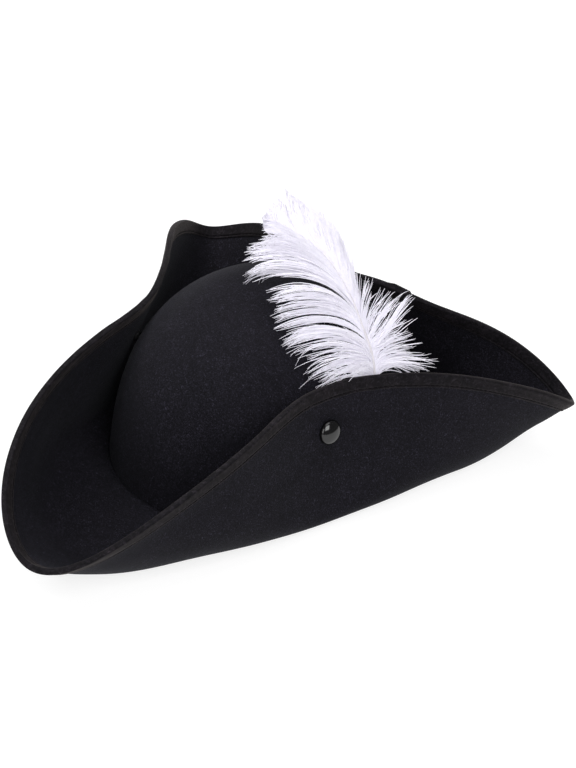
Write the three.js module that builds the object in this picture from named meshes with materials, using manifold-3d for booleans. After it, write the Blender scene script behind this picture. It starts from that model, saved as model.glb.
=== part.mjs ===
// Tricorn hat of black felt: a domed crown, a wide brim turned up on three sides to three points, a tape
// binding over the brim's edge, a press stud on each turned-up side, and a white ostrich plume tucked behind
// the left side. Millimetres, +Z up. The front point is towards -Y and the wearer's left is +X.
// The origin is the middle of the hat's box, on the surface that the hat rests on.
import * as THREE from "three";
import { mergeVertices } from "three/addons/utils/BufferGeometryUtils.js";
import Module from "manifold-3d";

const wasm = await Module();
wasm.setup();

// Felt
const FELT = 2.2; // thickness of the felt
const PRESSED_FLAT = 0.8; // how far the lowest felt is pressed in by the surface that the hat rests on
const GAP = 0.3; // clearance between pieces that touch

// Crown
const CROWN_WIDTH = 168; // outside, ear to ear, at the seam
const CROWN_LENGTH = 206; // outside, brow to nape, at the seam
const CROWN_HEIGHT = 113; // outside, seam to top
const CROWN_SQUARENESS = 2.66; // exponent of the dome's outline: 2 is round, more is squarer
const CROWN_SIDES = 52;
const CROWN_RINGS = 8;
const CROWN_FACET = 0.9; // how far the flat facets of the crown's inside can lie inside its true curve
const SEAT_TRIES = 400; // points tried on the crown for the one that a stud's seat lies at

// Brim
const BRIM_WIDTH = 115; // mean width of the bound brim, seam to edge, measured along the felt
const BRIM_STATIONS = 96;
const BEND_STEPS = 4;
const SLOPE_STEPS = 48; // steps that a section's slope is summed over, from the seam
const EDGE_STEPS = 1440; // steps round the brim that its stations are spaced by
const NEARBY = 0.5; // how far apart, in degrees and mm, points are taken for the brim's slopes

// One row for each section of the brim, from the front point round one side to the middle of the back; the
// other side mirrors it. azimuth is degrees from the front. width, run and bend are shares of BRIM_WIDTH.
// The felt leaves the crown at foot degrees above level, keeps that slope for run, and turns up to lean
// degrees over the length bend. Over 90 it leans in, over the crown.
const BRIM_SECTIONS = [
  { place: "front point", azimuth: 0, width: 1.089, run: 0.385, bend: 0.4, foot: -5, lean: 27.5 },
  { place: "front point, side", azimuth: 21.5, width: 0.999, run: 0.17, bend: 0.58, foot: 5.5, lean: 82 },
  { place: "side flap, front", azimuth: 41.5, width: 0.938, run: 0.035, bend: 0.35, foot: 9.5, lean: 104.5 },
  { place: "side flap, stud", azimuth: 61, width: 0.883, run: 0.015, bend: 0.155, foot: 7.5, lean: 104 },
  { place: "side flap, plume", azimuth: 91, width: 0.933, run: 0.015, bend: 0.32, foot: 4, lean: 106 },
  { place: "side flap, back", azimuth: 115, width: 1.012, run: 0.195, bend: 0.38, foot: 4.5, lean: 93.5 },
  { place: "back point, side", azimuth: 127, width: 1.057, run: 0.33, bend: 0.425, foot: 1, lean: 60.5 },
  { place: "back point", azimuth: 133, width: 1.063, run: 0.355, bend: 0.45, foot: 3, lean: 35.5 },
  { place: "back point, back", azimuth: 140.5, width: 1, run: 0.285, bend: 0.405, foot: 1.5, lean: 52.5 },
  { place: "back flap, side", azimuth: 152.5, width: 0.95, run: 0.17, bend: 0.37, foot: -1, lean: 96.5 },
  { place: "back flap", azimuth: 167, width: 0.979, run: 0.07, bend: 0.315, foot: -0.5, lean: 112 },
  { place: "back flap, stud", azimuth: 180, width: 0.969, run: 0.03, bend: 0.27, foot: -2, lean: 114.5 },
];

// Binding
const BINDING_WIDTH = 8.2; // how far the tape reaches down each side of the felt
const TAPE = 0.7; // thickness of the tape

// Press studs. Each is one riveted piece: a domed cap outside the flap, a post through the flap, a socket
// between the flap and the crown, a post through the crown, and a washer inside it. below is how far the cap's
// middle lies under the felt's edge.
const STUDS = [
  { side: "left", azimuth: 64.5, below: 29.5 },
  { side: "right", azimuth: -64.5, below: 29.5 },
  { side: "back", azimuth: 180, below: 29.5 },
];
const CAP_RADIUS = 7.5;
const CAP_DOME = 3.2; // height of the dome over the cap's edge
const CAP_EDGE = 0.8; // height of the cap's straight edge
const DOME_TURNS = [0.35, 0.7]; // rings of the dome, as shares of a quarter turn
const POST_RADIUS = 1.6;
const SOCKET_RADIUS = 3.6;
const SOCKET_THICK = 1.6;
const WASHER_RADIUS = 4.5;
const WASHER_THICK = 0.8;
const STUD_GAP = 0.5; // the cap's flat back stands this far off the felt's highest point under it
const CAP_SIDES = 18;
const STUD_SIDES = 8;

// Plume. Its shaft stands between the left flap and the crown, and curves in over the crown.
const PLUME_AZIMUTH = 91;
const SHAFT_RADIUS = 1;
const SHAFT_TIP_RADIUS = 0.5;
const SHAFT_SIDES = 8;
const SHAFT_STEPS = 12;
const TUCKED_STEPS = 6;
const TUCKED_HEIGHTS = [0.25, 0.45]; // where the tucked end lies along the crown, as shares of CROWN_HEIGHT
const SHAFT_GAP = 0.6; // between the shaft and the binding or the crown, which are faceted there
const PLUME_REACH = 88; // from the brim's edge in over the crown, to the shaft's tip
const PLUME_RISE = 70; // from the brim's edge up to the top of the shaft
const PLUME_LENGTH = 50; // length of the longest lock
const LOCKS = 11; // locks on each side of the shaft
const LOCK_WIDTH = 17; // across a lock at its widest
const LOCK_THICK = 4;
const LOCK_RINGS = 4;
const LOCK_ROOT = 0.6; // width of a lock where it leaves the shaft, as a share of its widest
const LOCK_BEND = 0.15; // how much of its reach a lock loses by being swept towards the tip
const LOCK_RISE = 1; // the lowest lock's side stands this far up the shaft from the brim's edge
const LAST_LOCK = 0.97; // the highest lock's place, as a share of the shaft's length

// The shaft's curve above the brim's edge, from the edge to the tip. inward is a share of PLUME_REACH and
// rise one of PLUME_RISE.
const SHAFT_POINTS = [
  { inward: 0, rise: 0 },
  { inward: 0.05, rise: 0.2 },
  { inward: 0.165, rise: 0.44 },
  { inward: 0.29, rise: 0.67 },
  { inward: 0.48, rise: 0.885 },
  { inward: 0.69, rise: 0.985 },
  { inward: 0.86, rise: 0.985 },
  { inward: 1, rise: 0.885 },
];

// How the locks change along the shaft, from the brim's edge, at 0, to the tip, at 1. front and back are
// the lengths of the locks on those sides, and drop is how far their ends hang, as shares of PLUME_LENGTH.
// sweep is how far the ends lie towards the tip, as a share of the lock's own length.
const LOCK_ROWS = [
  { along: 0, front: 0.75, back: 0.6, sweep: 0.1, drop: 0.1 },
  { along: 0.2, front: 0.95, back: 0.75, sweep: 0.25, drop: 0.2 },
  { along: 0.45, front: 1, back: 0.7, sweep: 0.4, drop: 0.4 },
  { along: 0.7, front: 0.95, back: 0.65, sweep: 0.5, drop: 0.5 },
  { along: 1, front: 0.6, back: 0.55, sweep: 0.75, drop: 0.45 },
];

// Colour and roughness
const FELT_LOOK = { color: 0x1d1d20, roughness: 0.95 };
const TAPE_LOOK = { color: 0x1a1616, roughness: 0.85 };
const STUD_LOOK = { color: 0x101012, roughness: 0.15 };
const PLUME_LOOK = { color: 0xf1eff6, roughness: 0.8 };

const radians = THREE.MathUtils.degToRad;
const lerp = THREE.MathUtils.lerp;

// Curves round the hat
// A smooth closed curve through the values ys at the angles xs, in degrees, with no break in its bend. Its
// slopes are found in turn, each from its neighbours, until they settle.
function closedCurve(xs, ys) {
  const settling = 60;
  const n = xs.length;
  const span = xs.map((x, i) => (i + 1 < n ? xs[i + 1] : xs[0] + 360) - x);
  const rise = ys.map((y, i) => (ys[(i + 1) % n] - y) / span[i]);
  const slope = rise.slice();
  for (let turn = 0; turn < settling; turn++)
    for (let i = 0; i < n; i++) {
      const before = (i + n - 1) % n;
      const known = 3 * (rise[before] / span[before] + rise[i] / span[i]);
      const others = slope[before] / span[before] + slope[(i + 1) % n] / span[i];
      slope[i] = (known - others) / (2 / span[before] + 2 / span[i]);
    }
  return (angle) => {
    const at = THREE.MathUtils.euclideanModulo(angle - xs[0], 360) + xs[0];
    const i = xs.findLastIndex((x) => x <= at);
    const t = (at - xs[i]) / span[i];
    const next = (i + 1) % n;
    const values = ys[i] * (1 + 2 * t) * (1 - t) ** 2 + ys[next] * t * t * (3 - 2 * t);
    return values + span[i] * (slope[i] * t * (1 - t) ** 2 + slope[next] * t * t * (t - 1));
  };
}

const MIRRORED = BRIM_SECTIONS.slice(1, -1)
  .reverse()
  .map((row) => ({ ...row, azimuth: 360 - row.azimuth }));
const ALL_SECTIONS = [...BRIM_SECTIONS, ...MIRRORED];

function column(name, unit) {
  const azimuths = ALL_SECTIONS.map((row) => row.azimuth);
  const values = ALL_SECTIONS.map((row) => row[name] * unit);
  return closedCurve(azimuths, values);
}

const boundWidth = column("width", BRIM_WIDTH);
const brimRun = column("run", BRIM_WIDTH);
const brimBend = column("bend", BRIM_WIDTH);
const brimFoot = column("foot", 1);
const brimLean = column("lean", 1);

// The felt stops short of the bound edge by the tape that folds over it.
const brimWidth = (azimuth) => boundWidth(azimuth) - GAP - TAPE;

const outward = (azimuth) => new THREE.Vector3(Math.sin(radians(azimuth)), -Math.cos(radians(azimuth)), 0);

// From the crown's axis to its outside, at the seam.
function seamRadius(azimuth) {
  const across = Math.sin(radians(azimuth)) / (CROWN_WIDTH / 2);
  const along = Math.cos(radians(azimuth)) / (CROWN_LENGTH / 2);
  return 1 / Math.hypot(across, along);
}

// Surfaces
// A point on the middle of the brim's felt, at the length `out` along it from the seam, which is at height 0.
// The felt under the crown's wall, where out is negative, is level.
function brimPoint(azimuth, out) {
  const [run, bend, foot, lean] = [brimRun, brimBend, brimFoot, brimLean].map((curve) => curve(azimuth));
  const step = Math.max(out, 0) / SLOPE_STEPS;
  let radius = seamRadius(azimuth) + Math.min(out, 0);
  let height = 0;
  for (let k = 0; k < SLOPE_STEPS; k++) {
    const turned = THREE.MathUtils.smoothstep((k + 0.5) * step, run, run + bend);
    const slope = radians(lerp(foot, lean, turned));
    radius += Math.cos(slope) * step;
    height += Math.sin(slope) * step;
  }
  return outward(azimuth).multiplyScalar(radius).setZ(height);
}

// The way out of the felt's upper face, the one that the turned-up sides show to the crown.
function brimNormal(azimuth, out) {
  if (out < 0) return new THREE.Vector3(0, 0, 1);
  const round = brimPoint(azimuth + NEARBY, out).sub(brimPoint(azimuth - NEARBY, out));
  const climb = brimPoint(azimuth, out + NEARBY).sub(brimPoint(azimuth, out));
  return climb.cross(round).normalize();
}

// A point off the brim's felt: `off` is measured from the middle of the felt, up or in.
function besideBrim(azimuth, out, off) {
  return brimPoint(azimuth, out).addScaledVector(brimNormal(azimuth, out), off);
}

// A point on the crown's outside, where climb runs from 0 at the seam to 1 at the top.
function domePoint(azimuth, climb) {
  const power = 2 / CROWN_SQUARENESS;
  const radius = seamRadius(azimuth) * Math.cos((climb * Math.PI) / 2) ** power;
  const height = CROWN_HEIGHT * Math.sin((climb * Math.PI) / 2) ** power;
  return outward(azimuth).multiplyScalar(radius).setZ(height);
}

function domeNormal(point) {
  const halfWidth = CROWN_WIDTH / 2;
  const halfLength = CROWN_LENGTH / 2;
  const level = Math.hypot(point.x / halfWidth, point.y / halfLength) ** (CROWN_SQUARENESS - 2);
  const rise = (point.z / CROWN_HEIGHT) ** (CROWN_SQUARENESS - 1) / CROWN_HEIGHT;
  const across = (level * point.x) / halfWidth ** 2;
  const along = (level * point.y) / halfLength ** 2;
  return new THREE.Vector3(across, along, rise).normalize();
}

// The point of the dome at an azimuth that lies nearest to a given point.
function nearestOnDome(azimuth, point) {
  let nearest = domePoint(azimuth, 0);
  for (let k = 1; k < SEAT_TRIES; k++) {
    const candidate = domePoint(azimuth, k / SEAT_TRIES);
    if (candidate.distanceTo(point) < nearest.distanceTo(point)) nearest = candidate;
  }
  return nearest;
}

// Solids
function solid(points, faces) {
  const vertProperties = new Float32Array(points.flatMap((point) => point.toArray()));
  return new wasm.Manifold(new wasm.Mesh({ numProp: 3, vertProperties, triVerts: new Uint32Array(faces) }));
}

// A closed body of rings with as many points each. Every ring goes the same way round, anticlockwise as seen
// from the ring after it. `ends` gives the two points that close it, or null where the last ring meets the
// first. `turnBack` says which sides of the ring have their diagonals the other way.
function lofted(rings, ends, turnBack = () => false) {
  const size = rings[0].length;
  const points = rings.flat();
  const faces = [];
  const spans = ends ? rings.length - 1 : rings.length;
  for (let i = 0; i < spans; i++)
    for (let j = 0; j < size; j++) {
      const next = (i + 1) % rings.length;
      const [a, b] = [i * size + j, i * size + ((j + 1) % size)];
      const [c, d] = [next * size + j, next * size + ((j + 1) % size)];
      if (turnBack(j)) faces.push(a, b, c, b, d, c);
      else faces.push(a, b, d, a, d, c);
    }
  if (ends) {
    const last = (rings.length - 1) * size;
    points.push(...ends);
    for (let j = 0; j < size; j++) {
      const k = (j + 1) % size;
      faces.push(points.length - 2, k, j);
      faces.push(points.length - 1, last + j, last + k);
    }
  }
  return solid(points, faces);
}

// A round body: profile holds [radius, height] pairs from the axis round to the axis, going up. It stands on
// `at`, with its axis along `way`.
function turned(profile, sides, at, way) {
  const outline = profile.map(([radius, height]) => new THREE.Vector2(radius, height));
  const lathe = new THREE.LatheGeometry(outline, sides);
  const turn = new THREE.Quaternion().setFromUnitVectors(new THREE.Vector3(0, 1, 0), way);
  lathe.applyMatrix4(new THREE.Matrix4().compose(at, turn, new THREE.Vector3(1, 1, 1)));
  lathe.deleteAttribute("normal");
  lathe.deleteAttribute("uv");
  const merged = mergeVertices(lathe, 1e-4);
  const places = merged.getAttribute("position");
  const points = [];
  for (let i = 0; i < places.count; i++) points.push(new THREE.Vector3().fromBufferAttribute(places, i));
  const faces = [];
  const index = Array.from(merged.index.array);
  for (let i = 0; i < index.length; i += 3) {
    const [a, b, c] = index.slice(i, i + 3);
    if (a !== b && b !== c && c !== a) faces.push(a, b, c);
  }
  return solid(points, faces);
}

// Brim
// Azimuths of the brim's stations, spread evenly along its edge and its seam together.
function brimAzimuths() {
  const along = [0];
  const at = (i) => (360 * i) / EDGE_STEPS;
  const edge = (i) => brimPoint(at(i), brimWidth(at(i)));
  for (let i = 1, before = edge(0); i <= EDGE_STEPS; i++) {
    const here = edge(i);
    along.push(along[i - 1] + here.distanceTo(before) + (2 * Math.PI * seamRadius(at(i))) / EDGE_STEPS);
    before = here;
  }
  const azimuths = [];
  for (let k = 0, i = 0; k < BRIM_STATIONS; k++) {
    const want = (along[EDGE_STEPS] * k) / BRIM_STATIONS;
    while (along[i + 1] <= want) i++;
    azimuths.push(at(i + (want - along[i]) / (along[i + 1] - along[i])));
  }
  return azimuths;
}

const STATIONS = brimAzimuths();

// Lengths along a section where the felt is sampled: under the crown's wall, at the seam, along the bend, and
// up to the edge, with a step where the binding ends.
function brimLengths(azimuth) {
  const [run, bend, width] = [brimRun, brimBend, brimWidth].map((curve) => curve(azimuth));
  const lengths = [-FELT, 0, run];
  for (let k = 1; k <= BEND_STEPS; k++) lengths.push(run + (bend * k) / BEND_STEPS);
  lengths.push((run + bend + width - BINDING_WIDTH) / 2, width - BINDING_WIDTH, width);
  return lengths;
}

// The level, tilted as the hat sits, of the surface that presses the lowest felt flat. The tilt is found by
// laying the surface on the lowest points in front and behind, and looking again for those that are lowest.
function restingPlane() {
  const settling = 8;
  const low = [];
  for (const azimuth of STATIONS)
    for (const out of brimLengths(azimuth)) low.push(besideBrim(azimuth, out, -FELT / 2));
  const front = low.filter((point) => point.y < 0);
  const back = low.filter((point) => point.y > 0);
  let tilt = 0;
  let touch = front[0];
  for (let turn = 0; turn < settling; turn++) {
    const lowest = (points) => points.reduce((a, b) => (b.z - tilt * b.y < a.z - tilt * a.y ? b : a));
    touch = lowest(front);
    const heel = lowest(back);
    tilt = (heel.z - touch.z) / (heel.y - touch.y);
  }
  return { tilt, level: (y) => touch.z + tilt * (y - touch.y) + PRESSED_FLAT };
}

const REST = restingPlane();

function brimFelt() {
  const rings = STATIONS.map((azimuth) => {
    const lengths = brimLengths(azimuth);
    const upper = lengths.map((out) => besideBrim(azimuth, out, FELT / 2));
    const lower = lengths.map((out) => besideBrim(azimuth, out, -FELT / 2));
    for (const point of lower) point.z = Math.max(point.z, REST.level(point.y));
    for (const point of upper) point.z = Math.max(point.z, REST.level(point.y) + FELT);
    return [...upper, ...lower.reverse()];
  });
  const size = rings[0].length;
  return lofted(rings, null, (side) => side >= size / 2);
}

// Crown
function makeCrown() {
  // The wall's foot follows the felt that it stands on, also where that is pressed up from below.
  const foot = (y) => Math.max(FELT / 2, REST.level(y) + FELT) + GAP;
  const outside = []; // rings from the foot up
  const inside = []; // rings from the top down
  for (let k = 0; k < CROWN_RINGS; k++) {
    const outer = [];
    const inner = [];
    for (let i = 0; i < CROWN_SIDES; i++) {
      const point = domePoint((360 * i) / CROWN_SIDES, k / CROWN_RINGS);
      outer.push(point);
      inner.push(point.clone().addScaledVector(domeNormal(point), -FELT));
    }
    if (k === 0) for (const point of [...outer, ...inner]) point.z = foot(point.y);
    outside.push(outer);
    inside.unshift(inner);
  }
  const top = new THREE.Vector3(0, 0, CROWN_HEIGHT);
  return lofted([...inside, ...outside], [top.clone().setZ(CROWN_HEIGHT - FELT), top]);
}

// Binding
function makeBinding() {
  const inner = FELT / 2 + GAP;
  const outer = inner + TAPE;
  const rings = STATIONS.map((azimuth) => {
    const width = brimWidth(azimuth);
    const hem = width - BINDING_WIDTH;
    const fold = width + GAP + TAPE;
    const outline = [
      [hem, inner],
      [hem, outer],
      [width, outer],
      [fold, outer / 2],
      [fold, -outer / 2],
      [width, -outer],
      [hem, -outer],
      [hem, -inner],
      [width + GAP, -inner],
      [width + GAP, inner],
    ];
    return outline.map(([out, off]) => besideBrim(azimuth, out, off));
  });
  const fallingSides = [4, 5, 6, 9];
  return lofted(rings, null, (side) => fallingSides.includes(side));
}

// Press studs
// How far the flap's outer face rises over its middle under a cap, where the flap is dished there.
function dish(azimuth, out, cap, capWay) {
  let most = 0;
  for (let k = 0; k < CAP_SIDES; k++) {
    const turn = (2 * Math.PI * k) / CAP_SIDES;
    const aside = THREE.MathUtils.radToDeg((CAP_RADIUS * Math.cos(turn)) / Math.hypot(cap.x, cap.y));
    const point = besideBrim(azimuth + aside, out + CAP_RADIUS * Math.sin(turn), -FELT / 2);
    most = Math.max(most, point.sub(cap).dot(capWay));
  }
  return most;
}

function studAxes({ azimuth, below }) {
  const out = brimWidth(azimuth) - below;
  const cap = besideBrim(azimuth, out, -FELT / 2);
  const capWay = brimNormal(azimuth, out).negate();
  const flapInside = besideBrim(azimuth, out, FELT / 2);
  const seat = nearestOnDome(azimuth, flapInside);
  const seatWay = domeNormal(seat);
  const middle = flapInside.clone().add(seat).multiplyScalar(0.5);
  cap.addScaledVector(capWay, dish(azimuth, out, cap, capWay) + STUD_GAP);
  const under = cap.clone().addScaledVector(capWay, CAP_EDGE / 2);
  const washerTop = -FELT - CROWN_FACET - GAP;
  const behind = seat.clone().addScaledVector(seatWay, washerTop - WASHER_THICK / 2);
  return { cap, capWay, seat, seatWay, middle, under, washerTop, behind };
}

function post(radius, from, to) {
  const way = to.clone().sub(from);
  const length = way.length();
  return turned([[0, 0], [radius, 0], [radius, length], [0, length]], STUD_SIDES, from, way.normalize());
}

function makeStud(place) {
  const { cap, capWay, seat, seatWay, middle, under, washerTop, behind } = studAxes(place);
  const dome = [[0, 0], [CAP_RADIUS, 0], [CAP_RADIUS, CAP_EDGE]];
  for (const share of DOME_TURNS) {
    const radius = CAP_RADIUS * Math.cos((share * Math.PI) / 2);
    dome.push([radius, CAP_EDGE + CAP_DOME * Math.sin((share * Math.PI) / 2)]);
  }
  dome.push([0, CAP_EDGE + CAP_DOME]);
  const half = SOCKET_THICK / 2;
  const socket = [[0, -half], [SOCKET_RADIUS, -half], [SOCKET_RADIUS, half], [0, half]];
  const washerFoot = washerTop - WASHER_THICK;
  const washer = [[0, washerFoot], [WASHER_RADIUS, washerFoot], [WASHER_RADIUS, washerTop], [0, washerTop]];
  const socketWay = capWay.clone().add(seatWay).normalize();
  return turned(dome, CAP_SIDES, cap, capWay)
    .add(post(POST_RADIUS, middle, under))
    .add(turned(socket, STUD_SIDES, middle, socketWay))
    .add(post(POST_RADIUS, behind, middle))
    .add(turned(washer, STUD_SIDES, seat, seatWay));
}

// The holes for a stud's posts, from between the flap and the crown to well past each felt.
function hole(from, to) {
  const past = to.clone().sub(from).setLength(FELT);
  return post(POST_RADIUS + GAP, from, to.clone().add(past));
}

function flapHole(place) {
  const { middle, under } = studAxes(place);
  return hole(middle, under);
}

function crownHole(place) {
  const { middle, behind } = studAxes(place);
  return hole(middle, behind);
}

function cutHoles(felt, holeOf) {
  return STUDS.reduce((rest, place) => rest.subtract(holeOf(place)), felt);
}

// Plume
// The two parts of the shaft's middle line: above the brim's edge, and tucked down between flap and crown.
function shaftCurve() {
  const edge = brimPoint(PLUME_AZIMUTH, brimWidth(PLUME_AZIMUTH));
  const way = outward(PLUME_AZIMUTH);
  const lean = radians(brimLean(PLUME_AZIMUTH) - 90);
  const start = edge.dot(way) - (FELT / 2 + GAP + TAPE + SHAFT_GAP + SHAFT_RADIUS) / Math.cos(lean);
  const points = SHAFT_POINTS.map(({ inward, rise }) =>
    way.clone().multiplyScalar(start - inward * PLUME_REACH).setZ(edge.z + rise * PLUME_RISE),
  );
  return new THREE.CatmullRomCurve3(points);
}

const SHAFT = shaftCurve();

// A ring of the shaft: `side` points across the plane that the shaft bends in.
function shaftRing(centre, along, radius) {
  const side = outward(PLUME_AZIMUTH + 90);
  const up = side.clone().cross(along).normalize();
  const ring = [];
  for (let k = 0; k < SHAFT_SIDES; k++) {
    const turn = (2 * Math.PI * k) / SHAFT_SIDES;
    const point = centre.clone().addScaledVector(side, radius * Math.cos(turn));
    ring.push(point.addScaledVector(up, -radius * Math.sin(turn)));
  }
  return ring;
}

function makeShaft() {
  const rings = [];
  for (let k = 0; k <= SHAFT_STEPS; k++) {
    const along = k / SHAFT_STEPS;
    const radius = lerp(SHAFT_RADIUS, SHAFT_TIP_RADIUS, along);
    rings.push(shaftRing(SHAFT.getPointAt(along), SHAFT.getTangentAt(along), radius));
  }
  return lofted(rings, [SHAFT.getPointAt(0), SHAFT.getPointAt(1)]);
}

// The bare end of the shaft, from the felt in the crease up along the crown to the brim's edge.
function makeTuckedShaft() {
  const way = outward(PLUME_AZIMUTH);
  const top = SHAFT.getPointAt(0);
  const foot = FELT / 2 + GAP + SHAFT_RADIUS;
  const heights = [foot, ...TUCKED_HEIGHTS.map((share) => share * CROWN_HEIGHT)];
  const points = heights.map((height) => {
    const shrink = (1 - (height / CROWN_HEIGHT) ** CROWN_SQUARENESS) ** (1 / CROWN_SQUARENESS);
    const radius = seamRadius(PLUME_AZIMUTH) * shrink + SHAFT_GAP + SHAFT_RADIUS;
    return way.clone().multiplyScalar(radius).setZ(height);
  });
  points.push(top.clone().setZ(top.z - 2 * BINDING_WIDTH));
  points.push(top.clone().addScaledVector(SHAFT.getTangentAt(0), -GAP));
  const curve = new THREE.CatmullRomCurve3(points);
  const rings = [];
  for (let k = 0; k <= TUCKED_STEPS; k++) {
    const tangent = k < TUCKED_STEPS ? curve.getTangentAt(k / TUCKED_STEPS) : SHAFT.getTangentAt(0);
    rings.push(shaftRing(curve.getPointAt(k / TUCKED_STEPS), tangent, SHAFT_RADIUS));
  }
  return lofted(rings, [curve.getPointAt(0), curve.getPointAt(1)]);
}

function lockRow(along) {
  const last = LOCK_ROWS.length - 1;
  const upper = Math.max(1, LOCK_ROWS.findIndex((row) => row.along >= along));
  const [from, to] = [LOCK_ROWS[Math.min(upper, last) - 1], LOCK_ROWS[Math.min(upper, last)]];
  const t = (along - from.along) / (to.along - from.along);
  const mix = (name) => lerp(from[name], to[name], t);
  return { front: mix("front"), back: mix("back"), sweep: mix("sweep"), drop: mix("drop") };
}

// One lock: a flat tapering blade that leaves the shaft sideways and bends over towards its end.
function makeLock(along, frontSide) {
  const row = lockRow(along);
  const length = PLUME_LENGTH * (frontSide ? row.front : row.back);
  const drop = PLUME_LENGTH * row.drop;
  const side = outward(PLUME_AZIMUTH + 90).multiplyScalar(frontSide ? -1 : 1);
  const root = SHAFT.getPointAt(along);
  const tangent = SHAFT.getTangentAt(along);
  const at = (t) => {
    const place = root.clone().addScaledVector(side, length * t * (1 - LOCK_BEND * row.sweep * t));
    place.addScaledVector(tangent, length * row.sweep * t);
    return place.setZ(place.z - drop * t * t);
  };
  const nearby = 0.01;
  const rings = [];
  for (let k = 0; k < LOCK_RINGS; k++) {
    const t = k / LOCK_RINGS;
    const direction = at(t + nearby).sub(at(t)).normalize();
    const across = tangent.clone().addScaledVector(direction, -tangent.dot(direction)).normalize();
    const thick = across.clone().cross(direction).normalize();
    const swell = k === 0 ? LOCK_ROOT : Math.sqrt(1 - t * t);
    const half = (LOCK_WIDTH / 2) * swell;
    const depth = (LOCK_THICK / 2) * swell;
    const centre = at(t);
    const ring = [
      centre.clone().addScaledVector(across, half),
      centre.clone().addScaledVector(thick, -depth),
      centre.clone().addScaledVector(across, -half),
      centre.clone().addScaledVector(thick, depth),
    ];
    rings.push(ring);
  }
  return lofted(rings, [root, at(1)]);
}

function makePlume() {
  let plume = makeShaft();
  const first = (LOCK_RISE + LOCK_WIDTH / 2) / SHAFT.getLength();
  for (let k = 0; k < LOCKS; k++)
    for (const frontSide of [true, false]) {
      const along = lerp(first, LAST_LOCK, k / (LOCKS - 1));
      plume = plume.add(makeLock(along, frontSide));
    }
  return plume;
}

// Assembly
function mesh(name, body, look) {
  const { vertProperties, triVerts } = body.getMesh();
  const geometry = new THREE.BufferGeometry();
  geometry.setAttribute("position", new THREE.BufferAttribute(vertProperties, 3));
  geometry.setIndex(new THREE.BufferAttribute(triVerts, 1));
  const made = new THREE.Mesh(geometry, new THREE.MeshStandardMaterial({ ...look, metalness: 0 }));
  made.name = name;
  return made;
}

const sitting = new THREE.Group();
sitting.add(mesh("crown", cutHoles(makeCrown(), crownHole), FELT_LOOK));
sitting.add(mesh("brim", cutHoles(brimFelt(), flapHole), FELT_LOOK));
sitting.add(mesh("brim_binding", makeBinding(), TAPE_LOOK));
for (const place of STUDS) sitting.add(mesh(`stud_${place.side}`, makeStud(place), STUD_LOOK));
sitting.add(mesh("plume", makePlume(), PLUME_LOOK));
sitting.add(mesh("plume_shaft", makeTuckedShaft(), PLUME_LOOK));

// The hat is tipped so that the felt that was pressed flat is level, and moved to stand on the origin.
sitting.rotation.x = -Math.atan(REST.tilt);
sitting.updateMatrixWorld(true);
const box = new THREE.Box3().setFromObject(sitting, true);
const middle = box.getCenter(new THREE.Vector3());
sitting.position.set(-middle.x, -middle.y, -box.min.z);

const hat = new THREE.Group();
hat.add(sitting);
hat.updateMatrixWorld(true);

export default hat;
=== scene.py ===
"""Tricorn hat of black felt with a bound brim, press studs and a white ostrich plume, in metres."""
import math

import bpy
import numpy as np
from mathutils import Matrix, Vector


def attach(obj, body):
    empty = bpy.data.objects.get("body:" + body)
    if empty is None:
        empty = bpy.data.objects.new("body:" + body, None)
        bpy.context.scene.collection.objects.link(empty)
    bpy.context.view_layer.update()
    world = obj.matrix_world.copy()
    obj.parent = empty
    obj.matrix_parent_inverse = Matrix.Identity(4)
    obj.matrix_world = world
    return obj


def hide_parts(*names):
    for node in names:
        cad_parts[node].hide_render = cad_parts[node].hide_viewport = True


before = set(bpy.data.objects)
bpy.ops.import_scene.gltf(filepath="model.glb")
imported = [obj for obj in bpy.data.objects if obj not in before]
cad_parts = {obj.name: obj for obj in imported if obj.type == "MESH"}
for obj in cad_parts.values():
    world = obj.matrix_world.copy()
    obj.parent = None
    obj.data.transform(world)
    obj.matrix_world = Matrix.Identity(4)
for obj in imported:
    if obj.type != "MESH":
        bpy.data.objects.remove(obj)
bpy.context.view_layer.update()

MM = 0.001

# Felt, and the gap between pieces that touch
FELT = 2.2 * MM
GAP = 0.3 * MM

# Crown
CROWN_WIDTH = 168 * MM
CROWN_LENGTH = 206 * MM
CROWN_HEIGHT = 113 * MM
CROWN_SQUARENESS = 2.66
CROWN_LIFT = 0.22 * MM  # the cut foot stands this far off the brim's felt
CROWN_EDGE = 0.45 * MM  # radius of the cut foot's rounded edges
CROWN_FOOT = 0.0008  # the lowest ring, as a share of the climb
CROWN_WAVER = 0.45 * MM  # how far the felt wanders off a true dome

# How the hat sits: the crown's foot in the frame, and how far the hat is tipped to stand level on its felt
SEAT = np.array([0, 37.086, 2.2876]) * MM
SEAT_TILT = math.radians(-0.90964)

# Brim: one row for each section, from the front point round to the middle of the back, as in the frame
BRIM_WIDTH = 115 * MM
BRIM_COLUMNS = ("azimuth", "width", "run", "bend", "foot", "lean")
BRIM_SECTIONS = np.array([
    (0, 1.089, 0.385, 0.4, -5, 27.5),
    (21.5, 0.999, 0.17, 0.58, 5.5, 82),
    (41.5, 0.938, 0.035, 0.35, 9.5, 104.5),
    (61, 0.883, 0.015, 0.155, 7.5, 104),
    (91, 0.933, 0.015, 0.32, 4, 106),
    (115, 1.012, 0.195, 0.38, 4.5, 93.5),
    (127, 1.057, 0.33, 0.425, 1, 60.5),
    (133, 1.063, 0.355, 0.45, 3, 35.5),
    (140.5, 1, 0.285, 0.405, 1.5, 52.5),
    (152.5, 0.95, 0.17, 0.37, -1, 96.5),
    (167, 0.979, 0.07, 0.315, -0.5, 112),
    (180, 0.969, 0.03, 0.27, -2, 114.5),
])
BRIM_WAVER = 0.55 * MM  # how far the felt wanders off its true sweep
SLOPE_STEPS = 64  # steps that a section's slope is summed over, from the seam
BRIM_STATIONS = 720

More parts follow.
